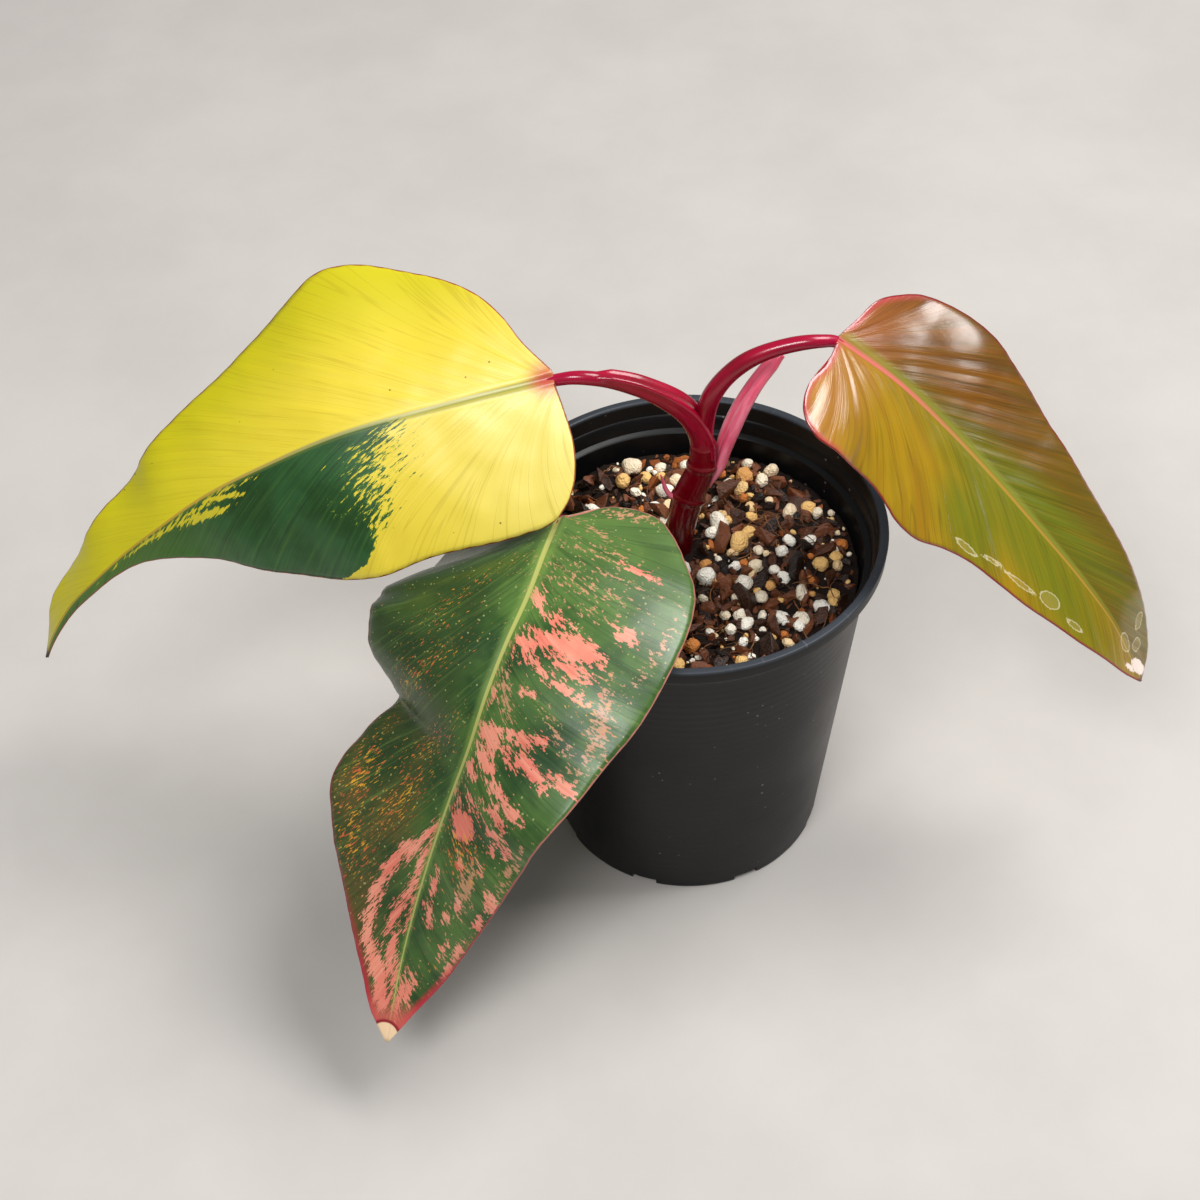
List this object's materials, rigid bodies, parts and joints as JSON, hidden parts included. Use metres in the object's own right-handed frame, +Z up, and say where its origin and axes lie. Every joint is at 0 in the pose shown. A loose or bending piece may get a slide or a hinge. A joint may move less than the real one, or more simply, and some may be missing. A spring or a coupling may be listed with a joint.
{
  "type": "potted philodendron",
  "caption": "House plant with large variegated leaves on red stalks, growing in a round black nursery pot of bark and pumice mix.",
  "frame": {"origin": "middle of the pot's base, on the surface it stands on", "axes": "+Z up, -Y toward the plant's front, +X to the right seen from the front"},
  "size_m": [0.3308, 0.1731, 0.1845],
  "materials": {
    "pot_plastic": "satin, near black",
    "soil_mix": "dark bark chips with cream pumice",
    "stalk": "glossy crimson",
    "sheath": "satin pink",
    "blade_yellow": "satin lemon yellow with dark green patches",
    "blade_green": "semi-gloss green with salmon pink patches",
    "blade_olive": "very glossy bronze and olive green"
  },
  "bodies": {
    "root": {"pot": "pot_plastic", "soil": "soil_mix", "stem": "stalk", "petiole_yellow": "stalk", "petiole_olive": "stalk", "petiole_green": "stalk", "sheath_leaf": "sheath", "leaf_yellow": "blade_yellow", "leaf_green": "blade_green", "leaf_olive": "blade_olive"}
  },
  "joints": []
}
